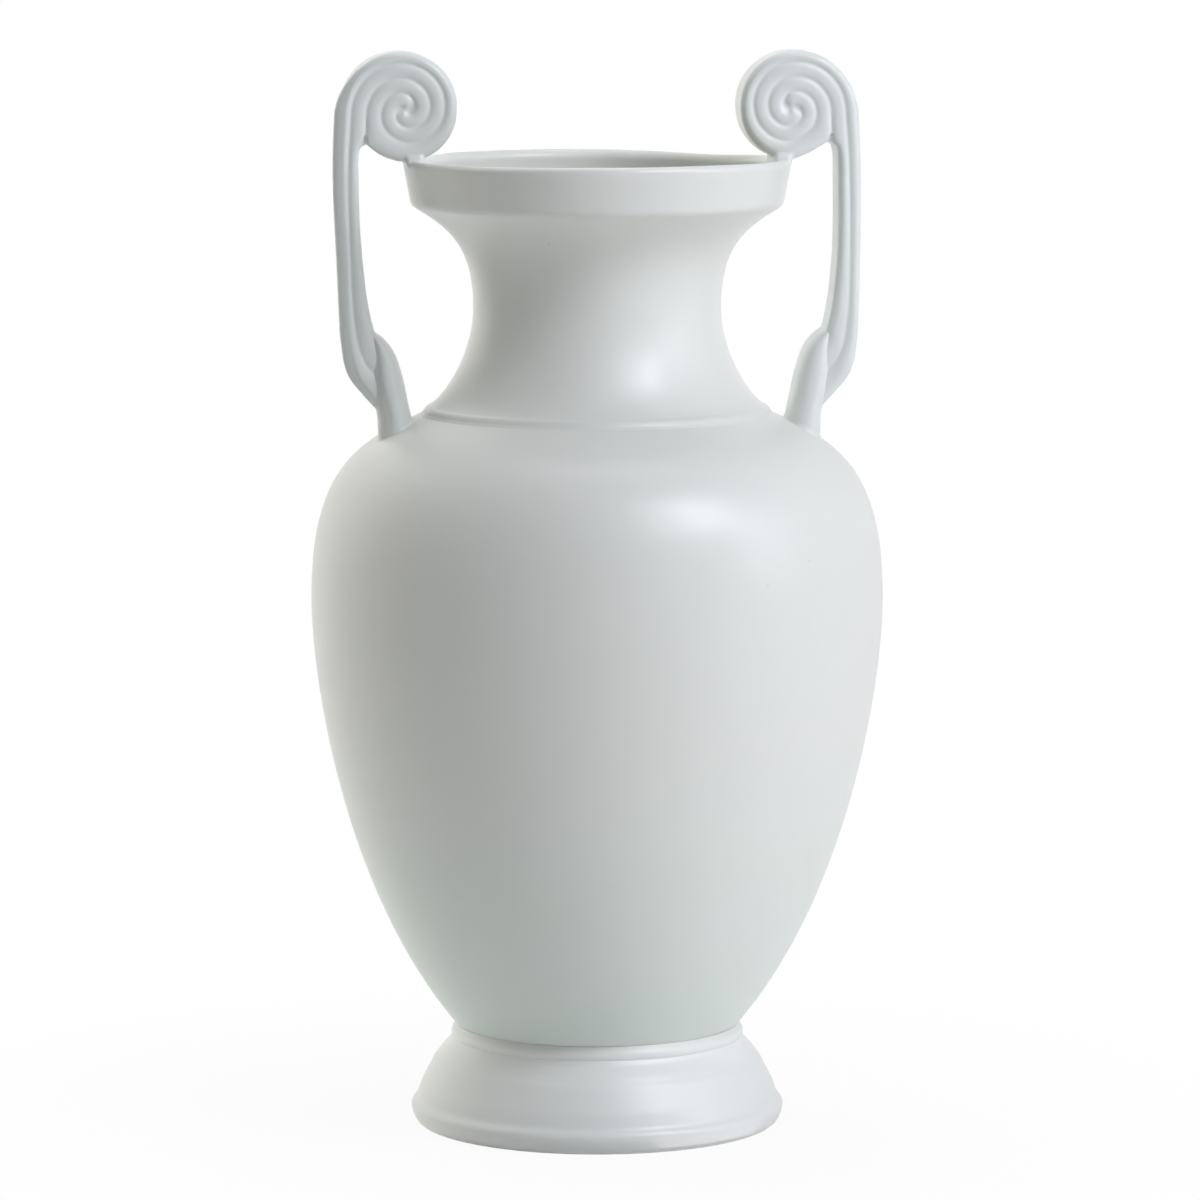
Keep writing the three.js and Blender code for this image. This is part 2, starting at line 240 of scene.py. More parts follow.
def lathe(name, profile, wobble=None):
    """Revolves a profile, counter-clockwise in radius and height, about the vase's axis. It is closed,
    or starts and ends on the axis. The wobble says how far a point moves out and up."""
    rings = []
    vertices = []
    faces = []
    for r, z in profile:
        first = len(vertices)
        if r == 0:
            vertices.append((0, 0, z))
            rings.append([first] * TURN_STEPS)
            continue
        for a in np.arange(TURN_STEPS) * FULL_TURN / TURN_STEPS:
            dr, dz = wobble(a, z) if wobble else (0, 0)
            vertices.append(((r + dr) * math.cos(a), (r + dr) * math.sin(a), z + dz))
        rings.append(list(range(first, first + TURN_STEPS)))
    closed = profile[0][0] > 0
    for i in range(len(rings) if closed else len(rings) - 1):
        low, high = rings[i], rings[(i + 1) % len(rings)]
        for j in range(TURN_STEPS):
            k = (j + 1) % TURN_STEPS
            corners = [low[j], low[k], high[k], high[j]]
            face = [c for n, c in enumerate(corners) if c not in corners[:n]]
            if len(face) > 2:
                faces.append(face)
    return piece(name, vertices, faces, CREASE_ANGLE)


# Outer lines of the turned body, from the foot up
flank = cubic(
    (WAIST_RADIUS, FOOT_TOP), (95.8, 86.8), (BELLY_RADIUS, 169), (BELLY_RADIUS, BELLY_WIDEST), steps=60)
shoulder = cubic(
    (BELLY_RADIUS, BELLY_WIDEST), (BELLY_RADIUS, 252.1), (88.9, 260.1), (SHOULDER_RADIUS, SHOULDER_TOP),
    steps=50)
belly_line = np.vstack([flank, shoulder[1:]])
neck_low = cubic(
    NECK_START, (56.4, 278.4), (NECK_WAIST_RADIUS, 294.6), (NECK_WAIST_RADIUS, NECK_WAIST), steps=30)
neck_high = cubic(
    (NECK_WAIST_RADIUS, NECK_WAIST), (NECK_WAIST_RADIUS, 331.6), (53.4, 339.5), (RIM_BASE_RADIUS, RIM_BASE),
    steps=34)
neck_line = np.vstack([neck_low, neck_high[1:]])


def shoulder_height(radius):
    """Height of the shoulder's surface at the radius."""
    return np.interp(-radius, -shoulder[:, 0], shoulder[:, 1])


# Foot: the band and the flare, then the bead. The profile closes over the joint and down the hollow.
foot_outer = spline([
    (69.0, 1.0), (69.9, 2.6), (70.6, 4.4), (70.9, 5.9), (70.8, 7.1), (70.2, 8.2), (69.3, 9.1), (68.6, 10.2),
    (68.0, 12.0), (66.9, 15), (65.4, 18), (63.8, 21.1), (62.3, 24), (61.1, 25.6), (59.8, 27.4), (58, 29.4),
    (56.3, 31.2), (55.5, 32.5)], steps=56)
foot_bead = spline([
    (55.2, 32.9), (55.6, 33.7), (55.6, 34.8), (55.3, 35.8), (54.8, 36.7), (54.2, 37.6), (53.9, 38.1)],
    steps=16)
foot_profile = [
    (59.0, 0.9), (59.9, 0.2), (61, 0), (66.9, 0), (68, 0.2), *foot_outer, *foot_bead, (53.2, 37.5),
    (52.6, 36.9), (48.1, 36.9), (48.1, 32.6), (50.4, 27), (55.6, 12), (57.6, 5.2)]

# Belly: its own floor stands on a spigot in the foot
belly_inside = [
    p for p in offset(belly_line, WALL)[::-1] if p[1] > FLOOR_CURVE_TOP and p[0] > BELLY_MOUTH_RADIUS]
belly_profile = [
    (0, FOOT_TOP), (44.8, FOOT_TOP), (44.8, 33.2), (47.8, 33.2), (47.8, 36.6), (52.4, 36.7), *belly_line,
    (BELLY_MOUTH_RADIUS, SHOULDER_TOP), (BELLY_MOUTH_RADIUS, 267.5), *belly_inside,
    (52, 44.6), (46, 43), (0, BELLY_FLOOR)]

# Neck: a spigot in the belly's mouth, the thin ledge on the shoulder, and the waisted wall
ledge = spline([
    (LEDGE_TOE_RADIUS, shoulder_height(LEDGE_TOE_RADIUS)), (66.3, 271.0), (65.8, 271.55), (65.4, 272.2),
    (64.9, 272.9), (64.2, 273.5), NECK_START], steps=18)
neck_inside = [
    p for p in offset(neck_line, WALL)[::-1] if NECK_INSIDE_ENDS[0] < p[1] < NECK_INSIDE_ENDS[1]]
neck_profile = [
    (56.6, 268), (59.6, 268), (59.6, 271.4), (64.9, 270.4), *ledge, *neck_line[1:],
    (63.4, 348.4), (61.2, RIM_BASE), *neck_inside]

# Rim: up the band, over the lip, then down the undercut and the bevel inside
rim_outer = spline([
    (RIM_BASE_RADIUS, RIM_BASE), (69, 348.9), (69.8, 349.8), (70.3, 351), (70.6, 352.7), (71.1, 355.5),
    (71.6, 358.5), (72.2, 361.4), (72.5, 363.3), (RIM_RADIUS, 364.5), (72.3, 365.6), (71.6, 366.3),
    (70.6, RIM_TOP), (69.7, 366.4), (68.9, 365.9), (68.3, 365.2), (67.9, 364.4), (67.8, 363.6), (68.0, 362.6),
    (68.5, 361.2), (69.0, 359.6), (69.1, 358.0), (68.3, 355.6), (66.3, 352.8), (63.6, 350.4), (60.9, 348.4)],
    steps=96)
rim_profile = [*rim_outer, (61, 348.1), (67.8, 348.1)]


def lip_wave(angle, height):
    """How far the lip moves out and up. It sags at the back and stands up in front, less so down the band."""
    share = min(max((height - RIM_BASE) / (RIM_TOP - RIM_BASE), 0), 1)
    lift = sum(high * math.sin(count * angle + phase) for count, phase, high in LIP_WAVES)
    for middle, spread, high in LIP_SWELLS:
        away = (math.degrees(angle) - middle + 180) % 360 - 180
        lift += high * math.exp(-((away / spread) ** 2))
    return LIP_OVAL * share * math.sin(2 * angle + OVAL_PHASE), lift * share


foot = lathe("foot_glazed", foot_profile)
belly = lathe("belly_glazed", belly_profile)
neck = lathe("neck_glazed", neck_profile)
rim = lathe("rim_glazed", rim_profile, lip_wave)


# Handles. A roll lies between two edge lines: up the arm first, then round the scroll.
# Turns count from the outer side, over the top, towards the vase's axis.
def scroll_line(radius_at, turns):
    """Points about the volute's middle, at the radius that each count of turns has."""
    t = np.linspace(0, turns, int(turns * SCROLL_STEPS) + 1)[1:]
    r = np.array([radius_at(v) for v in t])
    return np.column_stack([VOLUTE_X + r * np.cos(FULL_TURN * t), VOLUTE_Z + r * np.sin(FULL_TURN * t)])


def outline_radius(turns):
    """The outline comes in from the arm over half a turn, and is round from there."""
    return ARM_ENTRY_RADIUS + (VOLUTE_RADIUS - ARM_ENTRY_RADIUS) * min(turns / 0.5, 1) ** ENTRY_EASE


def groove_radius(turns):
    """The groove between the outer and the inner roll, which winds in evenly."""
    return max(GROOVE_START - SCROLL_PITCH * turns, 0)


def second_groove_radius(turns):
    """The groove half a pitch further in, on the other side of the inner roll."""
    return max(GROOVE_START - SCROLL_PITCH / 2 - SCROLL_PITCH * turns, 0)


def head_edge_radius(turns):
    """Outer edge of the inner roll, which keeps its width where it ends at the heart of the scroll."""
    return max(groove_radius(turns), HEAD_WIDTH)


def wound_edge_radius(turns):
    """Outer edge of the outer roll: the outline, then the groove beside the inner roll's first turn."""
    if turns <= OUTLINE_TURNS:
        return outline_radius(turns)
    if turns < 1:
        return min(outline_radius(turns), second_groove_radius(0) / math.cos(FULL_TURN * (1 - turns)))
    return max(second_groove_radius(turns - 1), HEAD_WIDTH)


arm_outer = spline([
    (81, 271.2), (84.6, 274.6), (88.9, 279.4), (93.4, 285.1), (95.6, 290.8), (96.5, 296.4), (97.2, 302),
    (97.8, 313.4), (98.2, 326), (98.6, 343), (98.8, 360), (98.6, 373),
    (VOLUTE_X + ARM_ENTRY_RADIUS, VOLUTE_Z)], ARM_STEPS)
arm_groove = spline([
    (79, 284.5), (82.5, 285.7), (86, 287.6), (88, 289.5), (89.8, 292.3), (91.2, 296.5), (92.2, 301),
    (93.1, 307), (93.8, 314), (94.2, 325), (94.4, 349), (94.1, 368),
    (VOLUTE_X + GROOVE_START, VOLUTE_Z)], ARM_STEPS)
arm_inner = spline([
    (79, 290.5), (82.2, 296), (85.2, 302), (87.9, 313.4), (89.2, 324.5), (89.9, 333), (90.3, 345),
    (90.4, 360), (90.4, 368), (89.8, 371.4), (88.8, 374), (88.1, 378),
    (VOLUTE_X + second_groove_radius(0), VOLUTE_Z)], ARM_STEPS)


def tube_faces(levels, sides):
    """Faces of a closed tube of upward levels, each with its vertices counter-clockwise from above."""
    last = (levels - 1) * sides
    faces = [list(range(sides))[::-1], list(range(last, last + sides))]
    for i in range(levels - 1):
        for j in range(sides):
            k = (j + 1) % sides
            faces.append([i * sides + j, i * sides + k, (i + 1) * sides + k, (i + 1) * sides + j])
    return faces


def roll(inner, outer, inner_relief, outer_relief):
    """Vertices and faces of one roll between its edge lines, with how far its face falls to each edge.
    It rises out of the root over its first stretch and is rounded off over its last."""
    middle = (inner + outer) / 2
    half = (outer - inner) / 2
    length = np.linalg.norm(half, axis=1)[:, None]
    half *= (length + ROLL_OVERLAP) / length
    run = run_along(middle)
    crest = np.interp(run, CREST_RUN, CREST - np.array(CREST_DROP))
    to_end = np.clip((run[-1] - run) / ROLL_END, 0, 1)
    keep = np.sqrt(np.clip(1 - (1 - to_end) ** 2, ROLL_TIP**2, 1))
    vertices = []
    for i, (m, h, k) in enumerate(zip(middle, half, keep)):
        for face in (1, -1):
            for angle in np.linspace(0, math.pi, ROLL_SIDES + 1):
                across = math.cos(angle) * face
                fall = (outer_relief if across > 0 else inner_relief)[i]
                bulge = math.sin(angle)
                if face < 0:
                    fall = GROOVE_RELIEF + (fall - GROOVE_RELIEF) * BACK_EASE
                else:
                    bulge **= 1 + min(max((fall - GROOVE_RELIEF) / (EDGE_RELIEF - GROOVE_RELIEF), 0), 1)
                x, z = m + h * k * across
                vertices.append((x, -face * (crest[i] - fall + fall * k * bulge), z))
    faces = [face[::-1] for face in tube_faces(len(middle), 2 * (ROLL_SIDES + 1))]
    return np.array(vertices), faces


def plate(outline, half_depth):
    """Vertices and faces of a flat plate with the outline, as deep on both sides of the middle plane."""
    n = len(outline)
    vertices = [(x, -half_depth, z) for x, z in outline] + [(x, half_depth, z) for x, z in outline]
    faces = [list(range(n)), list(range(n, 2 * n))[::-1]]
    faces += [[i, i + n, (i + 1) % n + n, (i + 1) % n] for i in range(n)]
    return np.array(vertices), faces


def loft(levels, sides, power):
    """A solid of level rounded rectangles: height, inner X, outer X and half depth of each."""
    vertices = []
    for z, inner, outer, half_depth in levels:
        for i in range(sides):
            c, s = math.cos(i * FULL_TURN / sides), math.sin(i * FULL_TURN / sides)
            vertices.append(((inner + outer) / 2 + (outer - inner) / 2 * math.copysign(abs(c) ** power, c),
                             half_depth * math.copysign(abs(s) ** power, s), z))
    return np.array(vertices), tube_faces(len(levels), sides)


def evaluated(made):
    """The object with its modifiers applied."""
    deps = bpy.context.evaluated_depsgraph_get()
    mesh = bpy.data.meshes.new_from_object(made.evaluated_get(deps))
    made.modifiers.clear()
    made.data = mesh
    return made


def smoothed(made, rounds, group=""):
    """The object softened, over the whole or as far as the vertex group weighs."""
    smooth = made.modifiers.new("smooth", "SMOOTH")
    smooth.vertex_group = group
    smooth.factor = SMOOTHING
    smooth.iterations = rounds
    return evaluated(made)


def fused(name, parts):
    """Parts joined under one skin, with the grooves and corners softened as glaze softens them."""
    vertices = []
    faces = []
    for part_vertices, part_faces in parts:
        first = len(vertices)
        vertices.extend(part_vertices)
        faces.extend([[c + first for c in face] for face in part_faces])
    made = piece(name, vertices, faces)
    skin = made.modifiers.new("skin", "REMESH")
    skin.mode = "VOXEL"
    skin.voxel_size = VOXEL * MM
    skin.use_smooth_shade = True
    made = smoothed(made, SKIN_ROUNDS)

    # The heart of the scroll, where the two rolls meet, is worn softer by the thumb
    heart = made.vertex_groups.new(name="heart")
    for v in made.data.vertices:
        away = math.hypot(v.co.x / MM - VOLUTE_X, v.co.z / MM - VOLUTE_Z)
        if away < HEART_RADIUS:
            heart.add([v.index], min((HEART_RADIUS - away) / HEART_FADE, 1), "REPLACE")
    return smoothed(made, HEART_ROUNDS, heart.name)


def scroll_parts():
    """The arm and volute: two rolls on a web, the heart's disc and the seat of slip."""
    outer_edge = np.vstack([arm_outer, scroll_line(wound_edge_radius, OUTER_TURNS)])
    outer_groove = np.vstack([arm_groove, scroll_line(groove_radius, OUTER_TURNS)])
    inner_edge = np.vstack([arm_groove, scroll_line(head_edge_radius, INNER_TURNS)])
    inner_groove = np.vstack([arm_inner, scroll_line(second_groove_radius, INNER_TURNS)])

    # The web's outline goes up the arm, round the disc to the crotch, and down the arm from there
    disc = scroll_line(outline_radius, CROTCH_TURNS)
    web = np.vstack([arm_outer, disc, arm_inner[::-1][CROTCH_STEPS:]])
    heart = scroll_line(lambda turns: HEART_RADIUS, 1)

    # The free edges are rounded off further than the grooves are deep
    on_arm = len(arm_outer)
    reliefs = (EDGE_RELIEF, GROOVE_RELIEF)
    outer_turns = np.linspace(0, OUTER_TURNS, len(outer_edge) - on_arm + 1)[1:]
    outer_free = np.concatenate([
        np.full(on_arm, EDGE_RELIEF),
        np.interp(outer_turns, FREE_EDGE_TURNS, reliefs)])
    inner_free = np.concatenate([
        np.interp(arm_inner[:, 1], FREE_EDGE_HEIGHTS, reliefs),
        np.full(len(inner_edge) - on_arm, GROOVE_RELIEF)])
    return [
        roll(outer_groove, outer_edge, np.full(len(outer_edge), GROOVE_RELIEF), outer_free),
        roll(inner_groove, inner_edge, inner_free, np.full(len(inner_edge), GROOVE_RELIEF)),
        plate(offset(web, WEB_INSET), CREST - WEB_RELIEF),
        plate(heart, CREST - HEART_RELIEF),
        loft(SEAT, SEAT_SIDES, SEAT_POWER),
    ]


def root_mesh(name):
    """A lug of level sections, closer at the fillet and at the rounded top, that stands on the shoulder."""
    heights = np.concatenate([
        np.arange(ROOT_BASE, ROOT_BODY, BASE_STEP),
        np.arange(ROOT_BODY, ROOT_CROWN, BODY_STEP),
        np.linspace(ROOT_CROWN, ROOT_TOP, CROWN_LEVELS)])
    sections = (ROOT_INNER, ROOT_OUTER, ROOT_DEPTH)
    levels = [(z, *(np.interp(z, ROOT_HEIGHTS, section) for section in sections)) for z in heights]
    vertices, faces = loft(levels, ROOT_SIDES, ROOT_POWER)
    for i, (x, y, z) in enumerate(vertices):
        inner, outer = levels[i // ROOT_SIDES][1:3]
        across = (2 * x - inner - outer) / (outer - inner) - ROOT_RIDGE
        if across > 0:
            y *= 1 - OUTER_FALL * across / (1 - ROOT_RIDGE)
        else:
            y *= 1 - INNER_FALL * (across / (1 + ROOT_RIDGE)) ** 2

        # The fillet spreads as a quarter round above the shoulder, and the lug's end follows just below it
        surface = shoulder_height(math.hypot(x, y))
        short = min(max(FILLET - (z - surface), 0), FILLET)
        spread = FILLET - math.sqrt(FILLET**2 - short**2)
        angle = (i % ROOT_SIDES) * FULL_TURN / ROOT_SIDES
        vertices[i] = (
            x + spread * math.cos(angle), y + spread * math.sin(angle), max(z, surface - ROOT_SINK))
    return smoothed(piece(name, vertices, faces), ROOT_ROUNDS)


def lean(points, side):
    """Moves each height of the handle outwards or inwards."""
    points[:, 0] += MM * np.interp(points[:, 2] / MM, LEAN_HEIGHTS, LEAN[side])


def heel(points, side):
    """Draws the volute's edge in over the heel, fading out towards its middle."""
    x, z = points[:, 0] / MM - VOLUTE_X, points[:, 2] / MM - VOLUTE_Z
    radius = np.hypot(x, z)
    turns = np.arctan2(z, x) / FULL_TURN % 1
    share = np.sin(np.clip((turns - HEEL_START_TURNS) / HEEL_TURNS, 0, 1) * math.pi)
    share *= np.clip((radius - HEEL_FADE) / HEEL_FADE, 0, 1) * (radius < HEEL_LIMIT)
    pull = HEEL[side] * share / np.maximum(radius, 1)
    points[:, 0] -= MM * x * pull
    points[:, 2] -= MM * z * pull


def cheek(points, side):
    """Narrows the strap behind its front face, up to where the volute turns over."""
    x, y, z = (points / MM).T
    bands = np.round(z).astype(int)
    reach = np.zeros(bands.max() + 1)
    np.maximum.at(reach, bands, x)
    inside = np.interp(z, np.arange(len(reach)), reach) - x

    def near(width):
        share = np.clip(1 - inside / width, 0, 1)
        return share * share * (3 - 2 * share)

    front = np.clip((CHEEK_BACK_Y - y) / (CHEEK_BACK_Y - CHEEK_FRONT_Y), 0, 1)
    shift = CHEEK_EDGE_LIFT * near(CHEEK_EDGE_WIDTH) * front - near(CHEEK_WIDTH)
    points[:, 0] += MM * CHEEK[side] * shift * np.clip((CHEEK_TOP - z) / CHEEK_FADE, 0, 1)


def placed(made, side):
    """Gives a right handle's piece the shape of its side. The left one is its mirror image."""
    mesh = made.data
    points = np.zeros(len(mesh.vertices) * 3)
    mesh.vertices.foreach_get("co", points)
    points = points.reshape(-1, 3)
    for warp in (heel, cheek, lean):
        warp(points, side)
    if side == "left":
        points[:, 0] *= -1
    mesh.vertices.foreach_set("co", points.ravel())
    if side == "left":
        mesh.flip_normals()
    mesh.update()
    return made


scroll = fused("right_scroll_glazed", scroll_parts())
root = root_mesh("right_root_glazed")
left_scroll = bpy.data.objects.new("left_scroll_glazed", scroll.data.copy())
left_root = bpy.data.objects.new("left_root_glazed", root.data.copy())
for copy in (left_scroll, left_root):
    bpy.context.scene.collection.objects.link(copy)
handles = {
    "right_handle_scroll": placed(scroll, "right"),
    "right_handle_root": placed(root, "right"),
    "left_handle_scroll": placed(left_scroll, "left"),
    "left_handle_root": placed(left_root, "left"),
}


# Shader nodes
def add_node(tree, kind, inputs=None, **settings):
    """A node with its settings and inputs. An input takes a value or another node's output."""
    made = tree.nodes.new("ShaderNode" + kind)
    for name, value in settings.items():
        setattr(made, name, value)
    for name, value in (inputs or {}).items():
        if isinstance(value, bpy.types.NodeSocket):
            tree.links.new(value, made.inputs[name])
        else:
            made.inputs[name].default_value = value
    return made


def ranged(tree, value, old, new):
    """The value brought from its old range to a new one, and kept within it."""
    made = add_node(tree, "MapRange", {
        "Value": value, "From Min": old[0], "From Max": old[1], "To Min": new[0], "To Max": new[1]})
    return made.outputs["Result"]


def combined(tree, operation, first, second):
    """The result of one step of arithmetic."""
    return add_node(tree, "Math", {0: first, 1: second}, operation=operation).outputs[0]


def mixed(tree, factor, first, second):
    """A colour that goes from the first to the second as the factor goes from 0 to 1."""
    made = add_node(tree, "Mix", {"Factor": factor, "A": first, "B": second}, data_type="RGBA")
    return made.outputs["Result"]


def noise(tree, place, scale, detail, roughness=0.5):
    """Soft noise from 0 to 1, finer with a larger scale."""
    made = add_node(tree, "TexNoise", {
        "Vector": place, "Scale": scale, "Detail": detail, "Roughness": roughness})
    return made.outputs["Fac"]


def seen(tree):
    """1 for what the camera and reflections see, and 0 for what lights the scene."""
    path = add_node(tree, "LightPath")
    return combined(tree, "MAXIMUM", path.outputs["Is Camera Ray"], path.outputs["Is Glossy Ray"])


def emptied_tree(owner):
    """The node tree of a material or world, with no nodes in it."""
    owner.use_nodes = True
    owner.node_tree.nodes.clear()
    return owner.node_tree


# Glaze. Heights on the vase are in metres, as its shader has them.
# Painted shade: low on the belly, above the foot, the colour is painted darker and greener, standing in for
# the shade under the belly and the green light thrown up onto it
UNDERSIDE_SHADE_FADE = (0.045, 0.15)
UNDERSIDE_SHADE_START = (0.036, 0.042)
# Painted light: the foot's colour is made lighter than the glaze, standing in for the light that falls on it
FOOT_PAINTED_LIGHT_FADE = (0.035, 0.037)
FOOT_PAINTED_LIGHT_SHARE = 0.8
PAINTED_UNDERSIDE_SHADE_COLOUR = (0.728, 0.79, 0.742, 1)
FOOT_PAINTED_LIGHT_COLOUR = (0.868, 0.868, 0.848, 1)
PINHOLE_COLOUR = (0.42, 0.41, 0.37, 1)
SPECK_TONE = 0.985
SPECK_SHARE = 0.35
PINHOLE_SHARE = 0.35
SATIN_ROUGHNESS = (0.3, 0.38)
SHEEN = 0.2
SHEEN_ROUGHNESS = 0.4
BUMP_STRENGTH = 0.5


def pinholes(tree, place):
    """1 in the middle of a few small round holes, and 0 elsewhere."""
    cells = add_node(tree, "TexVoronoi", {"Vector": place, "Scale": 55}).outputs["Distance"]
    hole = ranged(tree, cells, (0.02, 0.045), (1, 0))
    chosen = ranged(tree, noise(tree, place, scale=31, detail=0), (0.6, 0.62), (0, 1))
    return combined(tree, "MULTIPLY", hole, chosen)


def speckled(tree, place, pinhole, base, tint):
    """Glaze whose thickness drifts slowly from base to tint, with fine specks and the pinholes in it."""
    drift = ranged(tree, noise(tree, place, scale=9, detail=3), (0.35, 0.65), (0, 1))
    specks = ranged(
        tree, noise(tree, place, scale=160, detail=4, roughness=0.6), (0.3, 0.7), (0, SPECK_SHARE))
    speck_colour = (*(SPECK_TONE * c for c in base[:3]), 1)
    colour = mixed(tree, drift, base, tint)
    colour = mixed(tree, specks, colour, speck_colour)
    return mixed(tree, ranged(tree, pinhole, (0, 1), (0, PINHOLE_SHARE)), colour, PINHOLE_COLOUR)


def with_painted_shade_and_light(tree, place, colour):
    """The colour as it changes with height. Low on the belly, above the foot, it is painted darker and
    greener: painted shade under the belly, with a painted green cast of light thrown up from below. The foot
    is painted lighter, as painted light on it."""
    height = add_node(tree, "SeparateXYZ", {"Vector": place}).outputs["Z"]
    low_down = ranged(tree, height, UNDERSIDE_SHADE_FADE, (1, 0))
    above_foot = ranged(tree, height, UNDERSIDE_SHADE_START, (0, 1))
    # Painted shade: darker and greener low on the belly, in place of the shade under it and the green light
    # thrown up from below
    colour = mixed(tree, combined(tree, "MULTIPLY", low_down, above_foot), colour, PAINTED_UNDERSIDE_SHADE_COLOUR)
    # Painted light: the foot is made lighter to stand in for the light that falls on it
    painted_foot_light = ranged(tree, height, FOOT_PAINTED_LIGHT_FADE, (FOOT_PAINTED_LIGHT_SHARE, 0))
    return mixed(tree, painted_foot_light, colour, FOOT_PAINTED_LIGHT_COLOUR)


def relief(tree, place, pinhole):
    """The normal of turning marks, orange peel, grain and pinholes, each with its height in millimetres."""
    rings = add_node(
        tree, "TexWave",
        {"Vector": place, "Scale": 42, "Distortion": 3.5, "Detail": 2, "Detail Scale": 0.6},
        wave_type="BANDS", bands_direction="Z").outputs["Fac"]
    peel = noise(tree, place, scale=70, detail=3)
    grain = noise(tree, place, scale=650, detail=2)
    normal = None
    layers = ((rings, 0.01, False), (peel, 0.05, False), (grain, 0.012, False), (pinhole, 0.1, True))
    for marks, high, sunk in layers:
        inputs = {"Strength": BUMP_STRENGTH, "Distance": high * MM, "Height": marks}
        if normal:
            inputs["Normal"] = normal
        normal = add_node(tree, "Bump", inputs, invert=sunk).outputs["Normal"]
    return normal


def glaze_material(name, base, tint, seed):
    """Satin glaze. The seed moves its noise to another place."""
    material = bpy.data.materials.new(name)
    material.use_nodes = True
    tree = material.node_tree
    on_vase = add_node(tree, "TexCoord").outputs["Object"]
    place = add_node(tree, "Mapping", {
        "Vector": on_vase, "Location": (seed, seed * 0.37, seed * 0.71)}).outputs["Vector"]
    pinhole = pinholes(tree, place)
    colour = with_painted_shade_and_light(tree, on_vase, speckled(tree, place, pinhole, base, tint))
    roughness = ranged(tree, noise(tree, place, scale=22, detail=4), (0.3, 0.7), SATIN_ROUGHNESS)
    shader = tree.nodes["Principled BSDF"]
    shader.inputs["Sheen Weight"].default_value = SHEEN
    shader.inputs["Sheen Roughness"].default_value = SHEEN_ROUGHNESS
    tree.links.new(colour, shader.inputs["Base Color"])
    tree.links.new(roughness, shader.inputs["Roughness"])
    tree.links.new(relief(tree, place, pinhole), shader.inputs["Normal"])
    return material


body_glaze = glaze_material("satin_glaze_body", (0.80, 0.80, 0.768, 1), (0.785, 0.787, 0.754, 1), 0.0)
handle_glaze = glaze_material("satin_glaze_handles", (0.775, 0.80, 0.78, 1), (0.76, 0.785, 0.765, 1), 3.3)

for made, node, material, slot in (
    (foot, "foot", body_glaze, "glaze_body"),
    (belly, "belly", body_glaze, "glaze_body"),
    (neck, "neck", body_glaze, "glaze_body"),
    (rim, "rim", body_glaze, "glaze_body"),
    *((made, node, handle_glaze, "glaze_handles") for node, made in handles.items()),
):
    made.data.materials.clear()
    made.data.materials.append(material)
    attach(made, "root")
    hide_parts(node)


# Floor, in metres: lit as white paper. The camera sees it nearly white by the vase, and wholly white
# away from it.
FLOOR_HALF = 4.0
PAPER_COLOUR = (0.8, 0.805, 0.8, 1)
FADE_DISTANCES = (0.07, 0.3)
FADE_SHARES = (0.93, 1)
WHITE = (1, 1, 1, 1)


def floor_material():
    material = bpy.data.materials.new("white_floor")
    tree = emptied_tree(material)
    paper = add_node(tree, "BsdfDiffuse", {"Color": PAPER_COLOUR})
    white = add_node(tree, "Emission", {"Color": WHITE, "Strength": 1})
    place = add_node(tree, "TexCoord").outputs["Object"]
    distance = add_node(tree, "VectorMath", {0: place}, operation="LENGTH").outputs["Value"]
    share = combined(tree, "MULTIPLY", ranged(tree, distance, FADE_DISTANCES, FADE_SHARES), seen(tree))
    mix = add_node(tree, "MixShader", {"Fac": share, 1: paper.outputs["BSDF"], 2: white.outputs["Emission"]})
    add_node(tree, "OutputMaterial", {"Surface": mix.outputs["Shader"]})
    return material


floor = bpy.data.objects.new("studio_floor", bpy.data.meshes.new("studio_floor"))
floor_corners = [(x * FLOOR_HALF, y * FLOOR_HALF, 0) for x, y in ((-1, -1), (1, -1), (1, 1), (-1, 1))]
floor.data.from_pydata(floor_corners, [], [(0, 1, 2, 3)])
floor.data.materials.append(floor_material())
bpy.context.scene.collection.objects.link(floor)


# World: white to the camera and in reflections. As light it is a pale backdrop behind and to the left.
BACKDROP_AZIMUTH = -140
BACKDROP_TILT = 0.07
BACKDROP_EDGE = 0.6
BACKDROP_COLOUR = (0.99, 1, 0.935, 1)
AMBIENT_STRENGTH = 0.015
BACKDROP_STRENGTH = 3.7


def studio_world():
    world = bpy.data.worlds.new("studio")
    tree = emptied_tree(world)
    azimuth = math.radians(BACKDROP_AZIMUTH)
    place = add_node(tree, "TexCoord").outputs["Generated"]
    facing = add_node(
        tree, "VectorMath", {0: place, 1: (math.sin(azimuth), -math.cos(azimuth), BACKDROP_TILT)},
        operation="DOT_PRODUCT").outputs["Value"]
    strength = ranged(tree, facing, (BACKDROP_EDGE, 1), (AMBIENT_STRENGTH, BACKDROP_STRENGTH))
    light = add_node(tree, "Background", {"Color": BACKDROP_COLOUR, "Strength": strength})
    white = add_node(tree, "Background", {"Color": WHITE, "Strength": 1})
    mix = add_node(tree, "MixShader", {
        "Fac": seen(tree), 1: light.outputs["Background"], 2: white.outputs["Background"]})
    add_node(tree, "OutputWorld", {"Surface": mix.outputs["Shader"]})
    return world


bpy.context.scene.world = studio_world()


# Lights and camera, in metres. Azimuth turns from the viewer's side (-Y) towards +X.
LIGHT_TARGET = Vector((0, 0, 0.2))
SOFTBOX_DISTANCE = 1.6
COOL_LIGHT = (0.90, 0.93, 1.0)
TOP_LIGHT = (0.97, 0.98, 1.0)
REFLECTED_LIGHT = (1.0, 0.97, 1.0)


def direction(azimuth, elevation):
    """The direction from the vase towards a place at the azimuth and elevation, in degrees."""
    a, e = math.radians(azimuth), math.radians(elevation)
    return Vector((math.sin(a) * math.cos(e), -math.cos(a) * math.cos(e), math.sin(e)))


def facing_back(away):
    """The rotation of a light or camera that looks back along the direction."""
    return (-away).to_track_quat("-Z", "Y").to_euler()


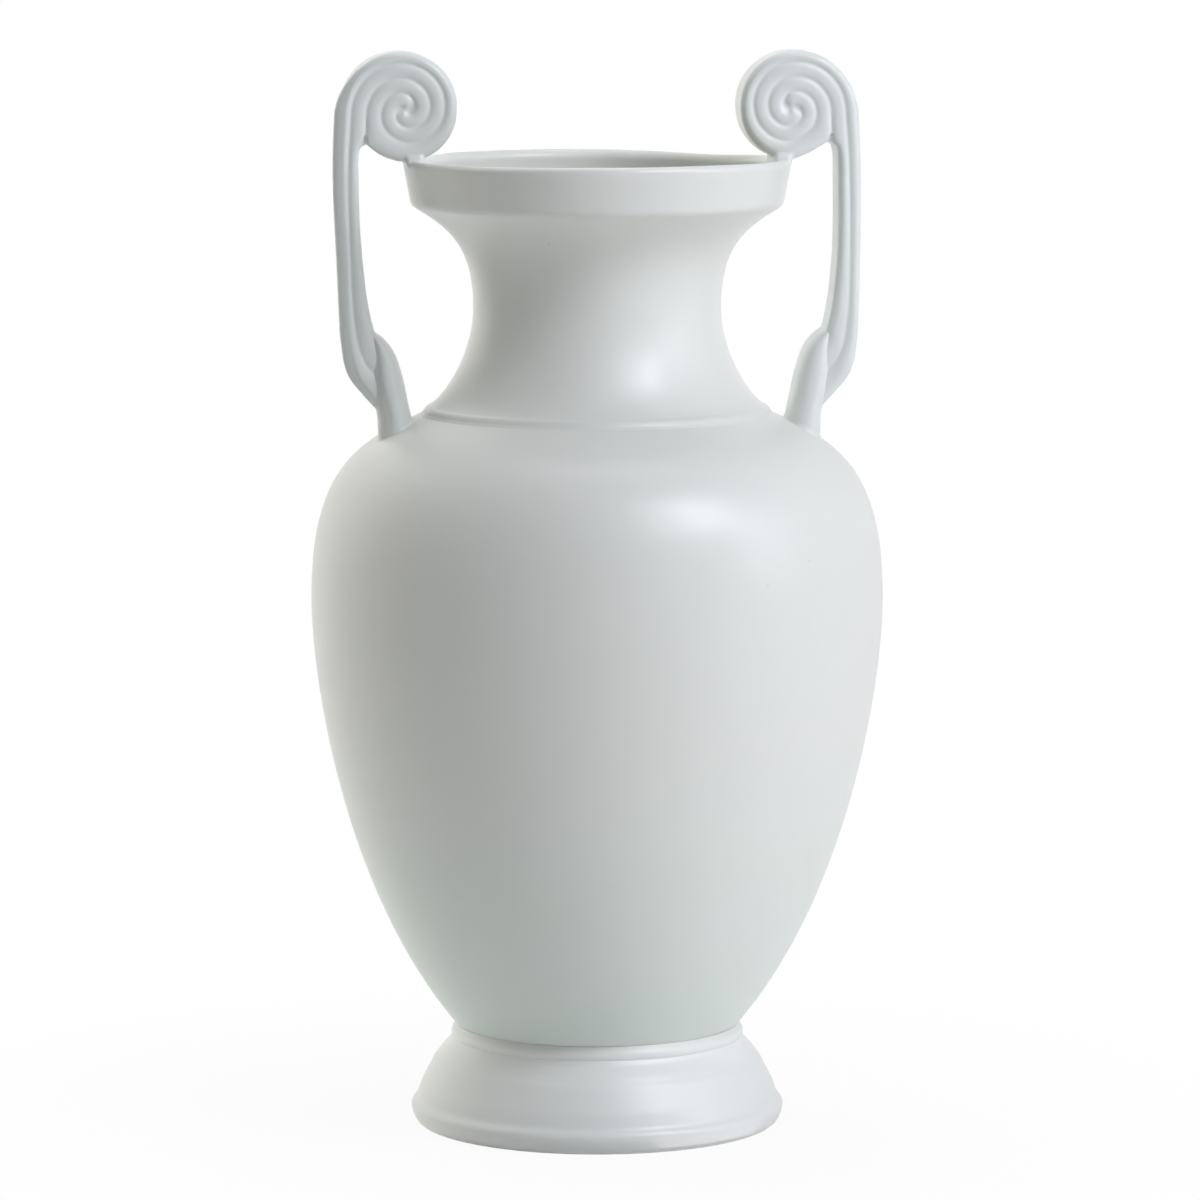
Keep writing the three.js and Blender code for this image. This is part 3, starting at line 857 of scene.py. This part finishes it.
def softbox(name, away, distance, width, height, power, colour):
    """An area light that faces the vase."""
    data = bpy.data.lights.new(name, "AREA")
    data.shape = "RECTANGLE"
    data.size = width
    data.size_y = height
    data.energy = power
    data.color = colour
    light = bpy.data.objects.new(name, data)
    bpy.context.scene.collection.objects.link(light)
    light.location = LIGHT_TARGET + away * distance
    light.rotation_euler = facing_back(away)
    return light


for name, azimuth, elevation, width, height, power, colour in (
    ("front_softbox", 30, 42, 0.7, 0.9, 6.3, COOL_LIGHT),
    ("key_softbox", 45, 40, 0.5, 0.65, 7.9, COOL_LIGHT),
    ("side_softbox", 66, 20, 0.7, 0.9, 5.6, COOL_LIGHT),
    ("top_softbox", 170, 80, 0.7, 0.7, 5.0, TOP_LIGHT),
):
    softbox(name, direction(azimuth, elevation), SOFTBOX_DISTANCE, width, height, power, colour)

# A reflector lies on the floor in front, and lights the foot and the underside of the belly
REFLECTOR_HEIGHT = 0.002
reflector = softbox(
    "floor_reflector", direction(42, 0), distance=0.36, width=0.45, height=0.45, power=0.2,
    colour=REFLECTED_LIGHT)
reflector.location.z = REFLECTOR_HEIGHT
reflector.rotation_euler = (math.pi, 0, 0)
reflector.visible_camera = False
reflector.visible_glossy = False


# Camera: a long lens, a little to the left of the front and a little above
AZIMUTH = -6.0
PITCH = 7.1
DISTANCE = 2390 * MM
AIM_HEIGHT = 199.6 * MM
AIM_SHIFT = 1.1 * MM
FOCAL_PIXELS = 6310
FRAME_PIXELS = 1200
SENSOR_WIDTH = 36
FAR_END = 50

data = bpy.data.cameras.new("camera")
data.sensor_width = SENSOR_WIDTH
data.sensor_fit = "HORIZONTAL"
data.lens = SENSOR_WIDTH * FOCAL_PIXELS / FRAME_PIXELS
data.clip_end = FAR_END
camera = bpy.data.objects.new("camera", data)
bpy.context.scene.collection.objects.link(camera)
away = direction(AZIMUTH, PITCH)
right = direction(AZIMUTH + 90, 0)
camera.location = Vector((0, 0, AIM_HEIGHT)) + right * AIM_SHIFT + away * DISTANCE
camera.rotation_euler = facing_back(away)
bpy.context.scene.camera = camera
bpy.context.scene.view_settings.view_transform = "Standard"
